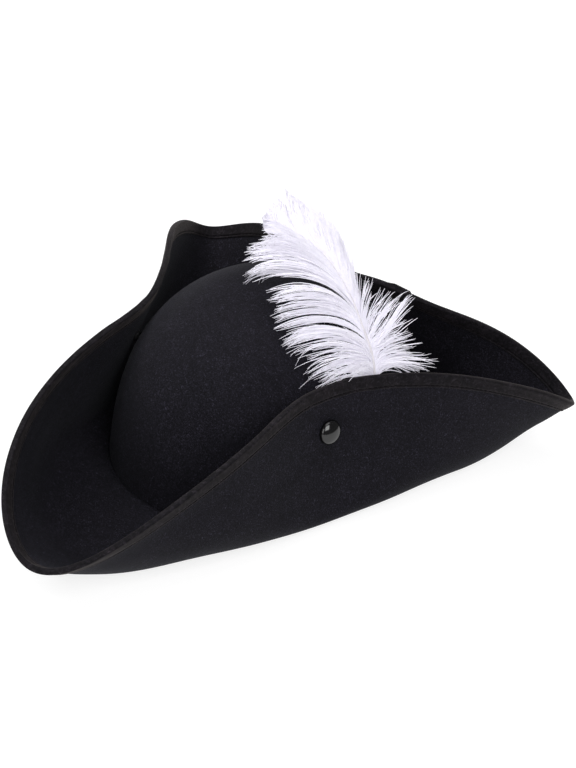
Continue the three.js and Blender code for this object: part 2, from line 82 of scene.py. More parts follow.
# The brim is puckered into a low ridge beside the seam: how far out it lies, its spread and its height
SEAM_RIDGE = (2.0 * MM, 0.4 * MM, 0.8 * MM)
SEAM_LENGTHS = np.array([0.3, 0.6, 0.9, 1.2, 1.5, 1.8, 2.1, 2.5, 3.0]) * MM

# Binding
BINDING_WIDTH = 8.2 * MM
TAPE = 0.7 * MM
TAPE_OFF_FELT = 0.12 * MM
HEM_THINNING = 0.22 * MM  # the tape is this much thinner at its hem than at the fold
HEM_ROUNDING = 0.12 * MM
HEM_FLAT = 0.35 * MM  # where the tape's flat face begins, from its hem
HEM_WAVER = 0.25 * MM
TAPE_SLACK = 0.16 * MM
STITCH = 2.6 * MM
STITCH_PITCH = 3.6 * MM
STITCH_FROM_HEM = 1.4 * MM
STITCH_RADIUS = 0.2 * MM
STITCH_PROUD = 0.12 * MM  # how far a stitch's middle stands out of the pinched tape
STITCH_SINK = 0.28 * MM  # how far a stitch's ends go into the tape
STITCH_PINCH = 0.42 * MM  # how deep the stitches pull the tape in
PINCH_SPREAD = 0.32 * MM
# The tape swells beyond its stitches: how far from them, the swelling's spread and its height
SWELLING = (1.3 * MM, 0.9 * MM, 0.12 * MM)
# The tape's free end: the azimuths that it lies between, and how thick it is folded
LAP_FROM, LAP_TO = 160.5, 166.5
LAP_LIFT = 0.9 * MM

# Press studs
STUD_AZIMUTHS = {"left": 64.5, "right": -64.5, "back": 180}
CAP_BELOW_EDGE = 28.7 * MM
CAP_RADIUS = 7.9 * MM
CAP_DOME = 4.4 * MM
CAP_EDGE = 0.8 * MM
CAP_BACK = 0.05 * MM  # how far the middle of the cap's back stands proud
CAP_FLAT = 0.9 * MM  # the cap's back is flat up to this far from its rim
CAP_ROLL = 0.25 * MM  # radius of the cap's rolled rim
CAP_RINGS = 26
POST_RADIUS = 1.6 * MM
SOCKET_RADIUS = 3.6 * MM
SOCKET_THICK = 1.6 * MM
WASHER_RADIUS = 4.5 * MM
WASHER_THICK = 0.8 * MM
WASHER_DEPTH = 1.2 * MM  # how far the washer lies under the crown's felt
STUD_GAP = 0.25 * MM
STUD_BEVEL = 0.12 * MM

# Plume
PLUME_AZIMUTH = 91
SHAFT_RADIUS = 1.0 * MM
SHAFT_TIP_RADIUS = 0.25 * MM
SHAFT_GAP = 0.6 * MM
TUCKED_HEIGHTS = (0.25, 0.45)  # where the tucked end lies along the crown, as shares of CROWN_HEIGHT
PLUME_REACH = 88 * MM
PLUME_RISE = 70 * MM
# The shaft above the brim's edge, as shares of PLUME_REACH and PLUME_RISE
SHAFT_POINTS = ((0, 0), (0.05, 0.2), (0.165, 0.44), (0.29, 0.67),
                (0.48, 0.885), (0.69, 0.985), (0.86, 0.985), (1, 0.885))

# Barbs. Each pair is for the ragged locks low on the plume, and for the even locks above them.
BARBS = 1000  # on each side of the shaft
BARB_SEEDS = {"front": 5, "back": 6}
BARB_STEPS = 14
BARB_SIDES = 4
BARB_RADIUS = 0.36 * MM
BARB_FLATNESS = 0.4
RAGGED_FRONT, RAGGED_BACK = 0.11, 0.26  # the places on the shaft that the ragged locks lie below
LOCK_TIPS = 3  # tips that the barbs of a lock gather to
TIP_STRAY = 0.035
TIP_LENGTH = (0.95, 0.05)  # mean and spread, as shares of the lock's
BARB_LENGTH = (0.99, 0.03)
LONGEST_BARB = 1.01
LOOSE_SHARE = (0.5, 0.08)  # of the barbs, those that leave their lock
LOOSE_GATHER = 0.4  # how closely these keep to their lock at the most, where 1 is wholly
LEAST_GATHER = (0.5, 0.88)  # how closely the others keep to it at the least
LOOSE_STRAY = (0.23, 0.06)
BARB_STRAY = 0.035
BARB_STOP = (0.36, 0.13)  # spread of how far short of its lock's tip a barb stops
LOOSE_STOP = 0.95
SHORTEST_BARB = 0.4
BARB_WAVE = 0.8 * MM
CROWN_CLEAR = 1.5 * MM
BRIM_CLEAR = 1.0 * MM
CLEAR_ABOVE = 9 * MM  # barbs up to this far above the brim's edge keep inside it

# Down: fine hairs along the barbs
HAIR_SEEDS = {"front": 45, "back": 46}
HAIR_PITCH = 1.2 * MM
HAIR_REACH = 3.2 * MM
HAIR_THICK = 0.075 * MM

# Camera, in the hat's own frame
CAMERA_AZIMUTH = 32.15
CAMERA_ELEVATION = 33.48
CAMERA_ROLL = 7.24
CAMERA_AT = np.array([900.3, -1399.9, 1147.6]) * MM
CAMERA_LENS = 148.6

# Studio
LIT_MIDDLE = np.array([0, 0.02, 0.06])
LAMP_DISTANCE = 1.8
# Lamps: name, azimuth from the wearer's front towards the left, elevation, size and power
LAMPS = (
    ("front", 0, 24, 1.1, 9),
    ("left", 58, 45, 1.15, 21),
    ("right", 270, 50, 1.4, 30),
    ("top", 0, 90, 1.2, 7),
)
WORLD_LIGHT = 0.13
FLOOR_HALF = 3.0
FLOOR_GLOW = 0.8


# Curves and frames
def closed_curve(azimuths, values):
    """A smooth closed curve through values at azimuths in degrees, with no break in its bend."""
    count = len(azimuths)
    span = np.diff(np.append(azimuths, azimuths[0] + 360))
    rise = (np.roll(values, -1) - values) / span
    rows = np.zeros((count, count))
    known = np.zeros(count)
    for i in range(count):
        rows[i, i - 1] += 1 / span[i - 1]
        rows[i, i] += 2 / span[i - 1] + 2 / span[i]
        rows[i, (i + 1) % count] += 1 / span[i]
        known[i] = 3 * (rise[i - 1] / span[i - 1] + rise[i] / span[i])
    slope = np.linalg.solve(rows, known)

    def curve(angle):
        at = (np.asarray(angle, float) - azimuths[0]) % 360 + azimuths[0]
        i = np.searchsorted(azimuths, at, side="right") - 1
        k = (i + 1) % count
        t = (at - azimuths[i]) / span[i]
        level = values[i] * (1 + 2 * t) * (1 - t) ** 2 + values[k] * t * t * (3 - 2 * t)
        return level + span[i] * (slope[i] * t * (1 - t) ** 2 + slope[k] * t * t * (t - 1))

    return curve


def brim_curves():
    """Each column of BRIM_SECTIONS as a curve round the whole brim, whose right half mirrors its left."""
    mirrored = BRIM_SECTIONS[1:-1][::-1].copy()
    mirrored[:, 0] = 360 - mirrored[:, 0]
    table = np.concatenate([BRIM_SECTIONS, mirrored])
    units = dict(width=BRIM_WIDTH, run=BRIM_WIDTH, bend=BRIM_WIDTH, foot=1, lean=1)
    curves = {}
    for name, size in units.items():
        curves[name] = closed_curve(table[:, 0], table[:, BRIM_COLUMNS.index(name)] * size)
    bound_width = curves["width"]
    # The felt ends short of the bound width by the tape's fold over its edge.
    curves["width"] = lambda azimuth: bound_width(azimuth) - GAP - TAPE
    return curves


BRIM = brim_curves()


def outward(azimuth):
    """The level way out from the crown's middle, at azimuths in degrees from the front towards the left."""
    turn = np.radians(azimuth)
    return np.stack([np.sin(turn), -np.cos(turn), np.zeros_like(turn)], -1)


def seam_radius(azimuth):
    """How far the seam between crown and brim lies from the crown's middle."""
    turn = np.radians(azimuth)
    return 1 / np.hypot(np.sin(turn) / (CROWN_WIDTH / 2), np.cos(turn) / (CROWN_LENGTH / 2))


def brim_point(azimuth, out):
    """Points on the middle of the brim's felt, at lengths out along it from the seam, both arrays alike."""
    azimuth, out = np.broadcast_arrays(np.asarray(azimuth, float), np.asarray(out, float))
    step = np.maximum(out, 0)[..., None] / SLOPE_STEPS
    at = (np.arange(SLOPE_STEPS) + 0.5) * step
    run, bend, foot, lean = (BRIM[name](azimuth)[..., None] for name in ("run", "bend", "foot", "lean"))
    turned = np.clip((at - run) / bend, 0, 1)
    turned = turned * turned * (3 - 2 * turned)
    slope = np.radians(foot + (lean - foot) * turned)
    radius = seam_radius(azimuth) + np.minimum(out, 0) + (np.cos(slope) * step).sum(-1)
    height = (np.sin(slope) * step).sum(-1)
    point = outward(azimuth) * radius[..., None]
    point[..., 2] = height
    return point


def running_length(points):
    """How far along their line each of the points lies."""
    return np.concatenate([[0], np.cumsum(np.linalg.norm(np.diff(points, axis=0), axis=1))])


def unit(vectors):
    return vectors / np.maximum(np.linalg.norm(vectors, axis=-1, keepdims=True), 1e-12)


def brim_normal(azimuth, out):
    """The way out of the felt's upper face, which faces the crown where the brim is turned up."""
    around = brim_point(azimuth + 0.3, out) - brim_point(azimuth - 0.3, out)
    climb = brim_point(azimuth, out + 0.4 * MM) - brim_point(azimuth, out)
    normal = unit(np.cross(climb, around))
    level = np.broadcast_to(np.asarray(out)[..., None] < 0, normal.shape)
    return np.where(level, np.array([0, 0, 1.0]), normal)


def beside_brim(azimuth, out, off):
    """Points at a distance off the middle of the brim's felt, towards the crown where off is positive."""
    azimuth, out, off = np.broadcast_arrays(np.asarray(azimuth, float), out, off)
    return brim_point(azimuth, out) + brim_normal(azimuth, out) * off[..., None]


def dome_point(azimuth, climb):
    """Points on the crown's outside, at climbs from 0 at the seam to 1 at the top."""
    power = 2 / CROWN_SQUARENESS
    azimuth, climb = np.broadcast_arrays(np.asarray(azimuth, float), np.asarray(climb, float))
    turn = climb * np.pi / 2
    point = outward(azimuth) * (seam_radius(azimuth) * np.abs(np.cos(turn)) ** power)[..., None]
    point[..., 2] = CROWN_HEIGHT * np.sin(turn) ** power
    return point


def dome_normal(point):
    half_width, half_length = CROWN_WIDTH / 2, CROWN_LENGTH / 2
    level = np.hypot(point[..., 0] / half_width, point[..., 1] / half_length) ** (CROWN_SQUARENESS - 2)
    rise = (np.abs(point[..., 2]) / CROWN_HEIGHT) ** (CROWN_SQUARENESS - 1) / CROWN_HEIGHT
    across = level * point[..., 0] / half_width ** 2
    lengthwise = level * point[..., 1] / half_length ** 2
    return unit(np.stack([across, lengthwise, rise], -1))


TILT = np.array([[1, 0, 0],
                 [0, math.cos(SEAT_TILT), -math.sin(SEAT_TILT)],
                 [0, math.sin(SEAT_TILT), math.cos(SEAT_TILT)]])


def seated(points):
    """From the hat's own frame, with the crown's foot at its origin, to the row's frame."""
    return points @ TILT.T + SEAT


def ripple(a, b, seed, count, finest):
    """A smooth wandering value about 1 high over two running numbers, as a sum of count waves."""
    random = np.random.default_rng(seed)
    total = np.zeros(np.broadcast(a, b).shape)
    for _ in range(count):
        fa, fb = random.integers(1, finest, 2)
        turn = random.uniform(0, 2 * np.pi)
        total = total + np.sin(fa * a + fb * b + turn) / math.sqrt(fa + fb)
    return total / 2


def hump(at, place, spread):
    """A smooth bell, 1 high at its place."""
    return np.exp(-((at - place) / spread) ** 2)


# Mesh building
def add_mesh(name, points, faces, uv=None, smooth=True):
    """A mesh object from points (n, 3), one or more arrays of equal-sided faces, and a uv for each point."""
    faces = [faces] if isinstance(faces, np.ndarray) else faces
    mesh = bpy.data.meshes.new(name)
    mesh.vertices.add(len(points))
    mesh.vertices.foreach_set("co", np.asarray(points, np.float32).ravel())
    corners = np.concatenate([f.ravel() for f in faces])
    sizes = np.concatenate([np.full(len(f), f.shape[1]) for f in faces])
    mesh.loops.add(len(corners))
    mesh.loops.foreach_set("vertex_index", corners.astype(np.int32))
    mesh.polygons.add(len(sizes))
    mesh.polygons.foreach_set("loop_start", np.concatenate([[0], np.cumsum(sizes)[:-1]]).astype(np.int32))
    mesh.polygons.foreach_set("use_smooth", np.full(len(sizes), smooth))
    if uv is not None:
        layer = mesh.uv_layers.new(name="along")
        layer.data.foreach_set("uv", np.asarray(uv, np.float32)[corners].ravel())
    mesh.update(calc_edges=True)
    mesh.validate()
    made = bpy.data.objects.new(name, mesh)
    bpy.context.scene.collection.objects.link(made)
    return made


def grid_faces(rows, columns, wrap_rows=False):
    """Quads over rows of points, each row a closed ring, and the rows a ring too where they wrap."""
    i = np.arange(rows if wrap_rows else rows - 1)[:, None]
    j = np.arange(columns)[None, :]
    i2, j2 = (i + 1) % rows, (j + 1) % columns
    quad = np.stack([i * columns + j, i * columns + j2, i2 * columns + j2, i2 * columns + j], -1)
    return quad.reshape(-1, 4)


def end_fans(rings, sides):
    """Triangles that close a stack of rings, to a foot point and a tip point that follow the rings' own."""
    j = np.arange(sides)
    k = (j + 1) % sides
    last = (rings - 1) * sides
    foot = np.stack([np.full(sides, rings * sides), k, j], -1)
    tip = np.stack([np.full(sides, rings * sides + 1), last + j, last + k], -1)
    return np.concatenate([foot, tip])


def tubes(paths, radii, sides, across=None, flat=1.0):
    """Closed tapering tubes, all in one mesh: paths is (n, steps, 3), radii is (n, steps)."""
    n, steps, _ = paths.shape
    tangent = unit(np.gradient(paths, axis=1))
    if across is None:
        across = np.broadcast_to(np.array([0.31, 0.52, 0.79]), paths.shape)
    side = unit(np.cross(tangent, across))
    lift = np.cross(side, tangent)
    turn = 2 * np.pi * np.arange(sides) / sides
    ring = paths[:, :, None] + radii[:, :, None, None] * (
        side[:, :, None] * np.cos(turn)[:, None] + flat * lift[:, :, None] * np.sin(turn)[:, None])
    points = np.concatenate([ring.reshape(n, -1, 3), paths[:, :1], paths[:, -1:]], 1)
    shift = (np.arange(n) * (steps * sides + 2))[:, None, None]
    side_faces = (grid_faces(steps, sides) + shift).reshape(-1, 4)
    return points.reshape(-1, 3), [side_faces, (end_fans(steps, sides) + shift).reshape(-1, 3)]


def turned(profile, at, way, sides):
    """A round body: profile is (radius, height) pairs from the axis round to the axis."""
    profile = np.asarray(profile)
    helper = np.array([0.0, 0, 1]) if abs(way[2]) < 0.9 else np.array([1.0, 0, 0])
    side = unit(np.cross(helper, way))
    lift = np.cross(way, side)
    turn = 2 * np.pi * np.arange(sides) / sides
    around = side * np.cos(turn)[:, None] + lift * np.sin(turn)[:, None]
    ring = profile[1:-1]
    points = (at + ring[:, None, :1] * around + ring[:, None, 1:] * way).reshape(-1, 3)
    ends = at + profile[[0, -1], 1:] * way
    return np.concatenate([points, ends]), [grid_faces(len(ring), sides), end_fans(len(ring), sides)]


def joined(parts):
    """Several (points, faces) as one."""
    points, quads, triangles, start = [], [], [], 0
    for part_points, part_faces in parts:
        points.append(part_points)
        for faces in part_faces:
            (quads if faces.shape[1] == 4 else triangles).append(faces + start)
        start += len(part_points)
    return np.concatenate(points), [np.concatenate(f) for f in (quads, triangles) if f]


# Materials
def new_material(name):
    """A material, its nodes and links, its shader, and the place on the object that its textures go by."""
    material = bpy.data.materials.new(name)
    material.use_nodes = True
    nodes = material.node_tree.nodes
    place = nodes.new("ShaderNodeTexCoord").outputs["Object"]
    return material, nodes, material.node_tree.links, nodes["Principled BSDF"], place


def set_inputs(node, values):
    for name, value in values.items():
        node.inputs[name].default_value = value


def noise(nodes, links, source, scale, detail=3.0, roughness=0.6, distortion=0.0):
    made = nodes.new("ShaderNodeTexNoise")
    set_inputs(made, {"Scale": scale, "Detail": detail, "Roughness": roughness, "Distortion": distortion})
    links.new(source, made.inputs["Vector"])
    return made.outputs["Fac"]


def ramp(nodes, links, source, stops):
    made = nodes.new("ShaderNodeValToRGB")
    elements = made.color_ramp.elements
    while len(elements) < len(stops):
        elements.new(0.5)
    for element, (place, colour) in zip(elements, stops):
        element.position = place
        element.color = (*colour, 1)
    links.new(source, made.inputs["Fac"])
    return made.outputs["Color"]


def blend_colour(nodes, links, kind, amount, a, b):
    made = nodes.new("ShaderNodeMix")
    made.data_type = "RGBA"
    made.blend_type = kind
    made.inputs["Factor"].default_value = amount
    links.new(a, made.inputs["A"])
    links.new(b, made.inputs["B"])
    return made.outputs["Result"]


def bump(nodes, links, height, strength, distance, normal=None):
    made = nodes.new("ShaderNodeBump")
    set_inputs(made, {"Strength": strength, "Distance": distance})
    links.new(height, made.inputs["Height"])
    if normal is not None:
        links.new(normal, made.inputs["Normal"])
    return made.outputs["Normal"]


def felt_material():
    """Black wool felt: a short matted nap with paler hairs caught in it."""
    material, nodes, links, shader, place = new_material("felt")
    grain = noise(nodes, links, place, 1500, 4, 0.7)
    hairs = noise(nodes, links, place, 420, 6, 0.75, 2.2)
    broad = noise(nodes, links, place, 28, 3, 0.55)
    dark = ramp(nodes, links, grain, ((0.34, (0.0028, 0.0026, 0.0039)), (0.52, (0.0062, 0.0057, 0.0087)),
                                      (0.72, (0.020, 0.0184, 0.027))))
    fleck = ramp(nodes, links, hairs, ((0.38, (0.4, 0.4, 0.42)), (0.56, (1.0, 1.0, 1.0)),
                                       (0.72, (4.6, 4.6, 4.65))))
    mottle = ramp(nodes, links, broad, ((0.3, (0.88, 0.88, 0.90)), (0.7, (1.28, 1.28, 1.28))))
    colour = blend_colour(nodes, links, "MULTIPLY", 1.0, dark, fleck)
    colour = blend_colour(nodes, links, "MULTIPLY", 1.0, colour, mottle)
    links.new(colour, shader.inputs["Base Color"])
    set_inputs(shader, {"Roughness": 0.88, "Specular IOR Level": 0.12, "Sheen Weight": 0.03,
                        "Sheen Roughness": 0.4, "Sheen Tint": (0.82, 0.84, 0.95, 1)})
    coarse = bump(nodes, links, hairs, 0.35, 0.35 * MM)
    links.new(bump(nodes, links, grain, 0.55, 0.25 * MM, coarse), shader.inputs["Normal"])
    return material


def tape_material():
    """Warm black tape, finely ribbed across its length and a little fuzzy."""
    material, nodes, links, shader, place = new_material("tape")
    along = nodes.new("ShaderNodeUVMap")
    along.uv_map = "along"
    ribs = nodes.new("ShaderNodeTexWave")
    ribs.wave_type = "BANDS"
    ribs.bands_direction = "X"
    set_inputs(ribs, {"Scale": 480, "Distortion": 1.2, "Detail": 1})
    links.new(along.outputs["UV"], ribs.inputs["Vector"])
    fuzz = noise(nodes, links, place, 420, 6, 0.78, 0.8)
    broad = noise(nodes, links, place, 120, 3, 0.6)
    dark = ramp(nodes, links, fuzz, ((0.35, (0.0020, 0.0018, 0.0024)), (0.53, (0.0068, 0.0060, 0.0077)),
                                     (0.70, (0.027, 0.0235, 0.0295))))
    weave = ramp(nodes, links, ribs.outputs["Fac"], ((0.0, (0.72, 0.72, 0.72)), (0.6, (1.05, 1.05, 1.05))))
    wear = ramp(nodes, links, broad, ((0.3, (0.66, 0.66, 0.72)), (0.7, (1.45, 1.38, 1.36))))
    colour = blend_colour(nodes, links, "MULTIPLY", 1.0, dark, weave)
    colour = blend_colour(nodes, links, "MULTIPLY", 1.0, colour, wear)
    links.new(colour, shader.inputs["Base Color"])
    set_inputs(shader, {"Roughness": 0.8, "Specular IOR Level": 0.1, "Sheen Weight": 0.08,
                        "Sheen Roughness": 0.4, "Sheen Tint": (1.0, 0.88, 0.85, 1)})
    woven = bump(nodes, links, ribs.outputs["Fac"], 0.35, 0.12 * MM)
    links.new(bump(nodes, links, fuzz, 0.4, 0.2 * MM, woven), shader.inputs["Normal"])
    return material


def thread_material():
    """Dull black sewing thread, twisted."""
    material, nodes, links, shader, place = new_material("thread")
    fibre = noise(nodes, links, place, 3000, 2, 0.6)
    links.new(ramp(nodes, links, fibre, ((0.3, (0.0004, 0.0004, 0.0004)), (0.7, (0.0015, 0.0013, 0.0014)))),
              shader.inputs["Base Color"])
    set_inputs(shader, {"Roughness": 0.9, "Specular IOR Level": 0.05})
    links.new(bump(nodes, links, fibre, 0.3, 0.05 * MM), shader.inputs["Normal"])
    return material


def cap_material():
    """Glossy black enamel with faint dust and handling marks."""
    material, nodes, links, shader, place = new_material("enamel")
    marks = noise(nodes, links, place, 700, 6, 0.7)
    links.new(ramp(nodes, links, marks, ((0.35, (0.002, 0.002, 0.0022)), (0.8, (0.006, 0.006, 0.0065)))),
              shader.inputs["Base Color"])
    rough = nodes.new("ShaderNodeMapRange")
    set_inputs(rough, {"To Min": 0.07, "To Max": 0.17})
    links.new(marks, rough.inputs["Value"])
    links.new(rough.outputs["Result"], shader.inputs["Roughness"])
    shader.inputs["Specular IOR Level"].default_value = 0.62
    links.new(bump(nodes, links, marks, 0.04, 0.05 * MM), shader.inputs["Normal"])
    return material


def metal_material():
    """Dull black metal under the caps, out of reach of the light."""
    material, nodes, links, shader, place = new_material("blackened")
    marks = noise(nodes, links, place, 900, 5, 0.7)
    links.new(ramp(nodes, links, marks, ((0.35, (0.004, 0.004, 0.0045)), (0.75, (0.009, 0.009, 0.010)))),
              shader.inputs["Base Color"])
    set_inputs(shader, {"Roughness": 0.7, "Specular IOR Level": 0.2})
    links.new(bump(nodes, links, marks, 0.2, 0.1 * MM), shader.inputs["Normal"])
    return material


def feather_material(name, low, high, roughness=0.75, painted_glow=0.0):
    """Soft feather, with a faint change of colour along and between its barbs, and a painted glow."""
    material, nodes, links, shader, place = new_material(name)
    strand = noise(nodes, links, place, 260, 5, 0.65, 0.8)
    links.new(ramp(nodes, links, strand, ((0.3, low), (0.7, high))), shader.inputs["Base Color"])
    set_inputs(shader, {"Roughness": roughness, "Specular IOR Level": 0.25, "Sheen Weight": 0.25,
                        "Sheen Roughness": 0.5})
    # Painted glow: the barbs give off a little light of their own colour, which stands in for light passing
    # through thin barbs, so none of them goes quite dark.
    set_inputs(shader, {"Emission Color": (*high, 1), "Emission Strength": painted_glow})
    links.new(bump(nodes, links, strand, 0.15, 0.1 * MM), shader.inputs["Normal"])
    return material


def dress(piece, material, slot, *nodes):
    """Gives a piece its material, hides the CAD nodes that it stands for and hangs it on the root body; slot
    is not used.
    """
    piece.data.materials.clear()
    piece.data.materials.append(material)
    if nodes:
        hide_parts(*nodes)
    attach(piece, "root")


# Crown
def make_crown(felt):
    sides, rings = ((300, 100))
    azimuth = 360 * np.arange(sides) / sides
    foot = FELT / 2 + CROWN_LIFT
    climb = np.concatenate([np.linspace(CROWN_FOOT, 0.02, 10), np.linspace(0.03, 1, rings)[:-1]])
    outer = dome_point(azimuth[None, :], climb[:, None])
    dent = ripple(np.radians(azimuth)[None, :], climb[:, None] * 5, seed=11, count=9, finest=5) * CROWN_WAVER
    fade = np.sin(np.clip(climb, 0, 1) * np.pi)[:, None] ** 0.5
    normal = dome_normal(outer)
    outer = outer + normal * (dent * fade)[..., None]
    inner = outer - normal * FELT
    # The wall's cut foot is rounded, and stands on the brim's felt.
    outer = outer[outer[:, 0, 2] > foot + CROWN_EDGE]
    inner = inner[inner[:, 0, 2] > foot + CROWN_EDGE]
    base = dome_point(azimuth, CROWN_FOOT)
    outer_turn, inner_turn = (np.array(shares) * np.pi / 2 for shares in ((1, 0.66, 0.33, 0), (0, 0.5, 1)))
    height = CROWN_EDGE * (1 - np.cos(np.concatenate([outer_turn, inner_turn])))
    outer_depth, inner_depth = (CROWN_EDGE * (1 - np.sin(turn)) for turn in (outer_turn, inner_turn))
    depth = np.concatenate([outer_depth, FELT - inner_depth])
    lip = base - dome_normal(base) * depth[:, None, None]
    lip[..., 2] = (foot + height)[:, None]
    stack = np.concatenate([outer[::-1], lip, inner])
    tops = np.array([[0, 0, CROWN_HEIGHT], [0, 0, CROWN_HEIGHT - FELT]])
    faces = [part[:, ::-1] for part in (grid_faces(len(stack), sides), end_fans(len(stack), sides))]
    crown = add_mesh("crown_felt", seated(np.concatenate([stack.reshape(-1, 3), tops])), faces)
    dress(crown, felt, "felt", "crown")


# Brim
def station_azimuths(count):
    """Azimuths spread evenly along the brim's edge and its seam together."""
    fine = np.linspace(0, 360, 2881)
    edge = brim_point(fine, BRIM["width"](fine))
    seam_step = np.pi * (CROWN_WIDTH + CROWN_LENGTH) / 2 / len(fine)
    along = np.concatenate([[0], np.cumsum(np.linalg.norm(np.diff(edge, axis=0), axis=1) + seam_step)])
    return np.interp(along[-1] * np.arange(count) / count, along, fine)


STATIONS = station_azimuths(BRIM_STATIONS)


def felt_lengths(azimuth, bend_steps, rise_steps):
    """Lengths along the felt from the seam, close together in the pucker and the bend, for each azimuth."""
    run, bend, width = (BRIM[name](azimuth)[:, None] for name in ("run", "bend", "width"))
    parts = [np.full((len(azimuth), 1), -FELT),
             run * np.linspace(0, 1, 8)[:-1],
             np.broadcast_to(SEAM_LENGTHS, (len(azimuth), len(SEAM_LENGTHS))),
             run + bend * np.linspace(0, 1, bend_steps + 1),
             run + bend + (width - run - bend) * np.linspace(0, 1, rise_steps + 1)[1:]]
    return np.sort(np.concatenate(parts, 1), 1)


def brim_wobble(azimuth, out):
    """How far the felt wanders off its true sweep, up or down."""
    share = out / BRIM["width"](azimuth)
    fade = np.clip(share, 0, 1) * np.clip((1 - share) * 5, 0, 1)
    return ripple(np.radians(azimuth) * 2, share * 6, seed=23, count=9, finest=6) * fade * BRIM_WAVER


def make_brim(felt):
    lengths = felt_lengths(STATIONS, *(((28, 20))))
    around = np.broadcast_to(STATIONS[:, None], lengths.shape)
    wander = brim_wobble(around, lengths)
    wander[:, 0] = 0
    place, spread, height = SEAM_RIDGE
    ridge = height * hump(lengths, place, spread)
    upper = seated(beside_brim(around, lengths, FELT / 2 + wander + ridge))
    lower = seated(beside_brim(around, lengths, -FELT / 2 + wander))
    lower[..., 2] = np.maximum(lower[..., 2], 0)
    upper[..., 2] = np.maximum(upper[..., 2], FELT)
    rings = np.concatenate([upper, lower[:, ::-1]], 1)
    faces = grid_faces(*rings.shape[:2], wrap_rows=True)
    dress(add_mesh("brim_felt", rings.reshape(-1, 3), faces), felt, "felt", "brim")


# Binding
def binding_outside():
    """The tape's section outside, from hem to hem: out from the brim's edge, and off the felt's middle."""
    inner = FELT / 2 + TAPE_OFF_FELT
    outer = inner + TAPE
    hem = -BINDING_WIDTH
    leg = np.array([0, 0.05, 0.1, 0.125, 0.15, 0.175, 0.22, 0.3, 0.45, 0.6, 0.75, 0.88])
    points = [(hem + 0.05 * MM, inner + 0.05 * MM), (hem - HEM_ROUNDING, inner + 0.35 * TAPE),
              (hem, outer - HEM_ROUNDING - HEM_THINNING)]
    beyond, spread, height = SWELLING
    for t in leg:
        from_hem = HEM_FLAT + (BINDING_WIDTH - HEM_FLAT) * t
        pinch = STITCH_PINCH * hump(from_hem, STITCH_FROM_HEM, PINCH_SPREAD)
        swell = height * hump(from_hem, STITCH_FROM_HEM + beyond, spread)
        points.append((hem + from_hem, outer - pinch + swell - HEM_THINNING * (1 - t)))
    mirrored = [(out, -off) for out, off in points[::-1]]
    for turn in np.linspace(np.pi / 2, -np.pi / 2, 13):
        points.append(((GAP + TAPE) * round(math.cos(turn), 9) ** 0.8, outer * math.sin(turn)))
    return np.array(points + mirrored)


def binding_inside():
    """The rest of the tape's section, inside its fold."""
    inner = FELT / 2 + TAPE_OFF_FELT
    deep = 0.5 * MM - BINDING_WIDTH
    return np.array([(deep, -inner), (0, -inner), (TAPE_OFF_FELT, 0), (0, inner), (deep, inner)])


def make_binding(tape):
    outline = np.concatenate([binding_outside(), binding_inside()])
    out, off = outline[None, :, 0], outline[None, :, 1]
    width = BRIM["width"](STATIONS)
    around = np.broadcast_to(STATIONS[:, None], (len(STATIONS), len(outline)))
    turn = np.radians(around)
    slack = ripple(turn * 9, out / BINDING_WIDTH * 2, seed=31, count=9, finest=7) * TAPE_SLACK
    bulge = 1 + slack / (FELT / 2 + TAPE) * (np.abs(off) > FELT / 2 + 0.3 * MM)
    hem_wander = ripple(turn * 13, 0 * turn, seed=37, count=7, finest=6) * (out < -BINDING_WIDTH * 0.9)
    points = seated(beside_brim(around, width[:, None] + out + hem_wander * HEM_WAVER, off * bulge))
    along = running_length(brim_point(STATIONS, width))
    uv = np.stack(np.broadcast_arrays(along[:, None], running_length(outline)[None, :]), -1).reshape(-1, 2)
    faces = grid_faces(*points.shape[:2], wrap_rows=True)
    binding = add_mesh("brim_tape", points.reshape(-1, 3), faces, uv)
    dress(binding, tape, "tape", "brim_binding")


def make_stitches(thread):
    """A row of lock stitches through the tape near its hem, on both faces."""
    fine = np.linspace(0, 360, 7201)
    off = FELT / 2 + TAPE_OFF_FELT + TAPE - 0.8 * HEM_THINNING
    parts = []
    for face in (1, -1):
        line = beside_brim(fine, BRIM["width"](fine) - BINDING_WIDTH + STITCH_FROM_HEM, face * off)
        along = running_length(line)
        count = int(along[-1] / STITCH_PITCH)
        start = along[-1] * np.arange(count) / count
        share = np.linspace(0, 1, 6)
        azimuth = np.interp(start[:, None] + STITCH * share, along, fine)
        depth = STITCH_PINCH - STITCH_PROUD + STITCH_SINK * (2 * share - 1) ** 4
        out = BRIM["width"](azimuth) - BINDING_WIDTH + STITCH_FROM_HEM
        path = beside_brim(azimuth, out, face * (off - depth))
        radii = np.broadcast_to(STITCH_RADIUS * np.array([0.6, 0.95, 1, 1, 0.95, 0.6]), path.shape[:2])
        parts.append(tubes(seated(path), radii, 6))
    dress(add_mesh("binding_stitches", *joined(parts)), thread, "tape")


